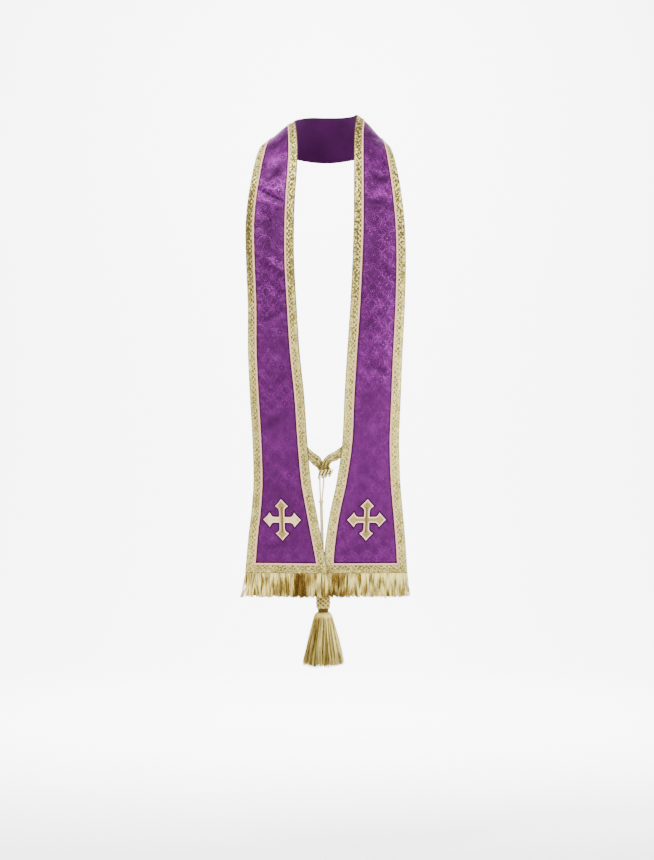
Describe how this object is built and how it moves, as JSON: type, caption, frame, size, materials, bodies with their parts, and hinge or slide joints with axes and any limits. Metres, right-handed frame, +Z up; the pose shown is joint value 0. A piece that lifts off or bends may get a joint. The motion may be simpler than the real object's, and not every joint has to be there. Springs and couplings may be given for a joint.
{
  "type": "clerical stole, in its worn form",
  "caption": "Long brocade stole round the neck, with flared fronts, gold galloon edges, crosses, fringed hems and a tasselled tie.",
  "frame": {"origin": "on the inner edge of the cloth at the centre back, where the back of the neck holds the stole", "axes": "+Z up, the fronts face -Y, +X to the wearer's left"},
  "size_m": [0.346, 0.2622, 1.1907],
  "materials": {
    "brocade": "purple tone-on-tone jacquard with a soft satin sheen",
    "gold_braid": "woven gold galloon with a low pattern in relief",
    "gold_embroidery": "satin-stitched gold thread with a pale edge",
    "gold_fringe": "glossy gold yarn",
    "pale_cord": "pale gold twisted cord"
  },
  "bodies": {
    "root": {"panel_r": "brocade", "panel_l": "brocade", "braid_outer_r": "gold_braid", "braid_outer_l": "gold_braid", "braid_inner_r": "gold_braid", "braid_inner_l": "gold_braid", "braid_hem_r": "gold_braid", "braid_hem_l": "gold_braid", "cross_r": "gold_embroidery", "cross_l": "gold_embroidery", "fringe_r": "gold_fringe", "fringe_l": "gold_fringe", "tie_arm_r": "gold_braid", "tie_arm_l": "gold_braid", "tie_binding": "pale_cord", "tie_cord_r": "pale_cord", "tie_cord_l": "pale_cord", "tie_knot": "pale_cord", "tassel": "gold_fringe"}
  },
  "joints": []
}
